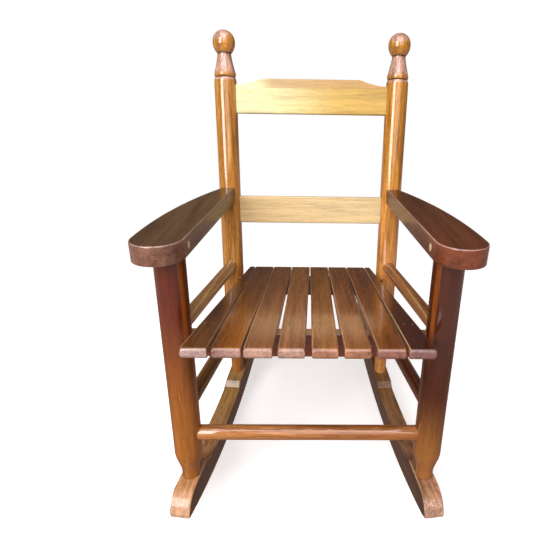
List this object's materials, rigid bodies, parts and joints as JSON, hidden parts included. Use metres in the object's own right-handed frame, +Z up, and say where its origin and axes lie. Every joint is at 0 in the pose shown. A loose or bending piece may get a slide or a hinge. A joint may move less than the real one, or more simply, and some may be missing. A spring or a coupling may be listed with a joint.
{
  "type": "rocking chair",
  "caption": "Child's wooden ladder-back rocking chair with turned posts, a slatted seat, shaped arms and two curved rockers; it rocks on the floor and seats one child.",
  "frame": {"origin": "on the floor under the centre of the bounding box, with the chair at rest on its rockers", "axes": "+Z up, +Y from the front of the seat towards the back, +X to the right for someone facing the chair's front, along the seat's width"},
  "size_m": [0.379, 0.47, 0.5754],
  "materials": {
    "back_post_wood": "clear-varnished golden wood with fine straight grain",
    "front_post_wood": "glossy red-brown stained wood",
    "arm_wood": "glossy dark walnut-brown stained wood",
    "back_slat_wood": "glossy pale golden wood",
    "seat_wood": "glossy mid-brown stained wood, grain along the slats",
    "rung_wood": "glossy honey-brown stained wood",
    "rocker_wood": "glossy brown stained wood, grain along the rocker",
    "plug_wood": "unstained light end-grain wood",
    "brad_steel": "small bright nail heads set flush",
    "screw_steel": "countersunk wood screws"
  },
  "bodies": {
    "root": {"back_post_left": "back_post_wood", "back_post_right": "back_post_wood", "front_post_left": "front_post_wood", "front_post_right": "front_post_wood", "arm_left": "arm_wood", "arm_right": "arm_wood", "crest_slat": "back_slat_wood", "lower_back_slat": "back_slat_wood", "seat_slat_1": "seat_wood", "seat_slat_2": "seat_wood", "seat_slat_3": "seat_wood", "seat_slat_4": "seat_wood", "seat_slat_5": "seat_wood", "seat_slat_6": "seat_wood", "seat_slat_7": "seat_wood", "seat_slat_8": "seat_wood", "front_seat_rail": "front_post_wood", "rear_seat_rail": "front_post_wood", "upper_side_rung_left": "rung_wood", "upper_side_rung_right": "rung_wood", "lower_side_rung_left": "rung_wood", "lower_side_rung_right": "rung_wood", "front_rung": "rung_wood", "rear_rung": "rung_wood", "rocker_left": "rocker_wood", "rocker_right": "rocker_wood", "seat_brads": "brad_steel", "arm_plugs": "plug_wood", "arm_screws": "screw_steel"}
  },
  "joints": []
}
